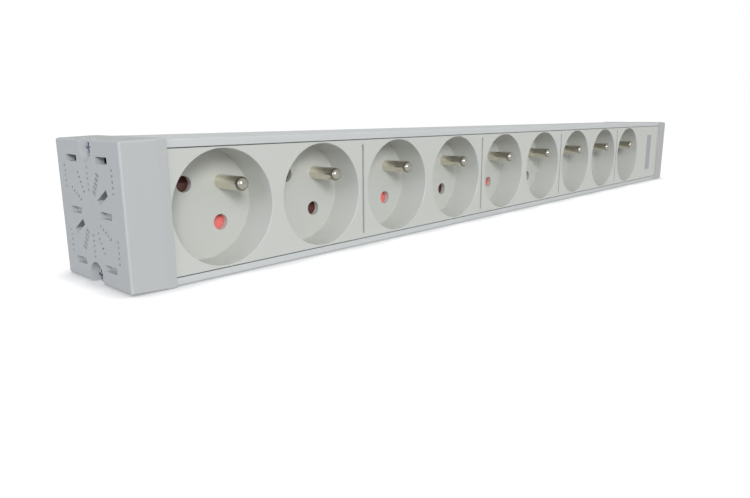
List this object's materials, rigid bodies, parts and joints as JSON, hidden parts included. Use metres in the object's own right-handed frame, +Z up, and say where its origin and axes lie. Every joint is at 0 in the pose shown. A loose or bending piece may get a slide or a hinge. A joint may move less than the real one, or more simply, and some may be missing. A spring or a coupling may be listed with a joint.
{
  "type": "rack power distribution unit",
  "caption": "One-unit-high rack power strip: a row of round shuttered sockets with earth pins in a slim extruded housing between two slotted end caps.",
  "frame": {"origin": "middle of the base, between the caps' undersides", "axes": "+X along the strip towards the supply end, -Y out of the sockets, +Z up"},
  "size_m": [0.4466, 0.0444, 0.0444],
  "materials": {
    "extrusion": "satin anodised",
    "cap_moulding": "fine moulded grain",
    "socket_moulding": "satin moulded",
    "carrier_moulding": "moulded",
    "nickel_pin": "nickel-plated, polished",
    "shutter_red": "moulded",
    "spring_steel": "bright strip",
    "rail_brass": "stamped",
    "zinc_screw": "zinc-plated",
    "insulation_film": "film",
    "bush_rubber": "moulded",
    "label_film": "satin film"
  },
  "bodies": {
    "housing": {"housing_profile": "extrusion", "end_cap_blind": "cap_moulding", "end_cap_supply": "cap_moulding", "cap_screws_blind": "zinc_screw", "cap_screws_supply": "zinc_screw", "cable_entry_bush": "bush_rubber", "socket_module_1": "socket_moulding", "contact_carrier_1": "carrier_moulding", "socket_module_2": "socket_moulding", "contact_carrier_2": "carrier_moulding", "socket_module_3": "socket_moulding", "contact_carrier_3": "carrier_moulding", "socket_module_4": "socket_moulding", "contact_carrier_4": "carrier_moulding", "socket_module_5": "socket_moulding", "contact_carrier_5": "carrier_moulding", "earth_pin_1": "nickel_pin", "shutter_spring_1": "spring_steel", "earth_pin_2": "nickel_pin", "shutter_spring_2": "spring_steel", "earth_pin_3": "nickel_pin", "shutter_spring_3": "spring_steel", "earth_pin_4": "nickel_pin", "shutter_spring_4": "spring_steel", "earth_pin_5": "nickel_pin", "shutter_spring_5": "spring_steel", "earth_pin_6": "nickel_pin", "shutter_spring_6": "spring_steel", "earth_pin_7": "nickel_pin", "shutter_spring_7": "spring_steel", "earth_pin_8": "nickel_pin", "shutter_spring_8": "spring_steel", "earth_pin_9": "nickel_pin", "shutter_spring_9": "spring_steel", "live_rail": "rail_brass", "neutral_rail": "rail_brass", "earth_rail": "rail_brass", "insulation_strip": "insulation_film", "terminal_block": "carrier_moulding", "terminal_screws": "zinc_screw", "blank_label": "label_film"},
    "shutter_slide_1": {"shutter_1": "shutter_red"},
    "shutter_slide_2": {"shutter_2": "shutter_red"},
    "shutter_slide_3": {"shutter_3": "shutter_red"},
    "shutter_slide_4": {"shutter_4": "shutter_red"},
    "shutter_slide_5": {"shutter_5": "shutter_red"},
    "shutter_slide_6": {"shutter_6": "shutter_red"},
    "shutter_slide_7": {"shutter_7": "shutter_red"},
    "shutter_slide_8": {"shutter_8": "shutter_red"},
    "shutter_slide_9": {"shutter_9": "shutter_red"}
  },
  "joints": [
    {"name": "shutter_1_slide", "type": "slide", "parent": "housing", "child": "shutter_slide_1", "axis": [0, 0, -1], "range_m": [0, 0.0064], "stiffness_N_per_m": 60, "springref_m": -0.002, "deforming": ["shutter_spring_1"]},
    {"name": "shutter_2_slide", "type": "slide", "parent": "housing", "child": "shutter_slide_2", "axis": [0, 0, -1], "range_m": [0, 0.0064], "stiffness_N_per_m": 60, "springref_m": -0.002, "deforming": ["shutter_spring_2"]},
    {"name": "shutter_3_slide", "type": "slide", "parent": "housing", "child": "shutter_slide_3", "axis": [0, 0, -1], "range_m": [0, 0.0064], "stiffness_N_per_m": 60, "springref_m": -0.002, "deforming": ["shutter_spring_3"]},
    {"name": "shutter_4_slide", "type": "slide", "parent": "housing", "child": "shutter_slide_4", "axis": [0, 0, -1], "range_m": [0, 0.0064], "stiffness_N_per_m": 60, "springref_m": -0.002, "deforming": ["shutter_spring_4"]},
    {"name": "shutter_5_slide", "type": "slide", "parent": "housing", "child": "shutter_slide_5", "axis": [0, 0, -1], "range_m": [0, 0.0064], "stiffness_N_per_m": 60, "springref_m": -0.002, "deforming": ["shutter_spring_5"]},
    {"name": "shutter_6_slide", "type": "slide", "parent": "housing", "child": "shutter_slide_6", "axis": [0, 0, -1], "range_m": [0, 0.0064], "stiffness_N_per_m": 60, "springref_m": -0.002, "deforming": ["shutter_spring_6"]},
    {"name": "shutter_7_slide", "type": "slide", "parent": "housing", "child": "shutter_slide_7", "axis": [0, 0, -1], "range_m": [0, 0.0064], "stiffness_N_per_m": 60, "springref_m": -0.002, "deforming": ["shutter_spring_7"]},
    {"name": "shutter_8_slide", "type": "slide", "parent": "housing", "child": "shutter_slide_8", "axis": [0, 0, -1], "range_m": [0, 0.0064], "stiffness_N_per_m": 60, "springref_m": -0.002, "deforming": ["shutter_spring_8"]},
    {"name": "shutter_9_slide", "type": "slide", "parent": "housing", "child": "shutter_slide_9", "axis": [0, 0, -1], "range_m": [0, 0.0064], "stiffness_N_per_m": 60, "springref_m": -0.002, "deforming": ["shutter_spring_9"]}
  ]
}
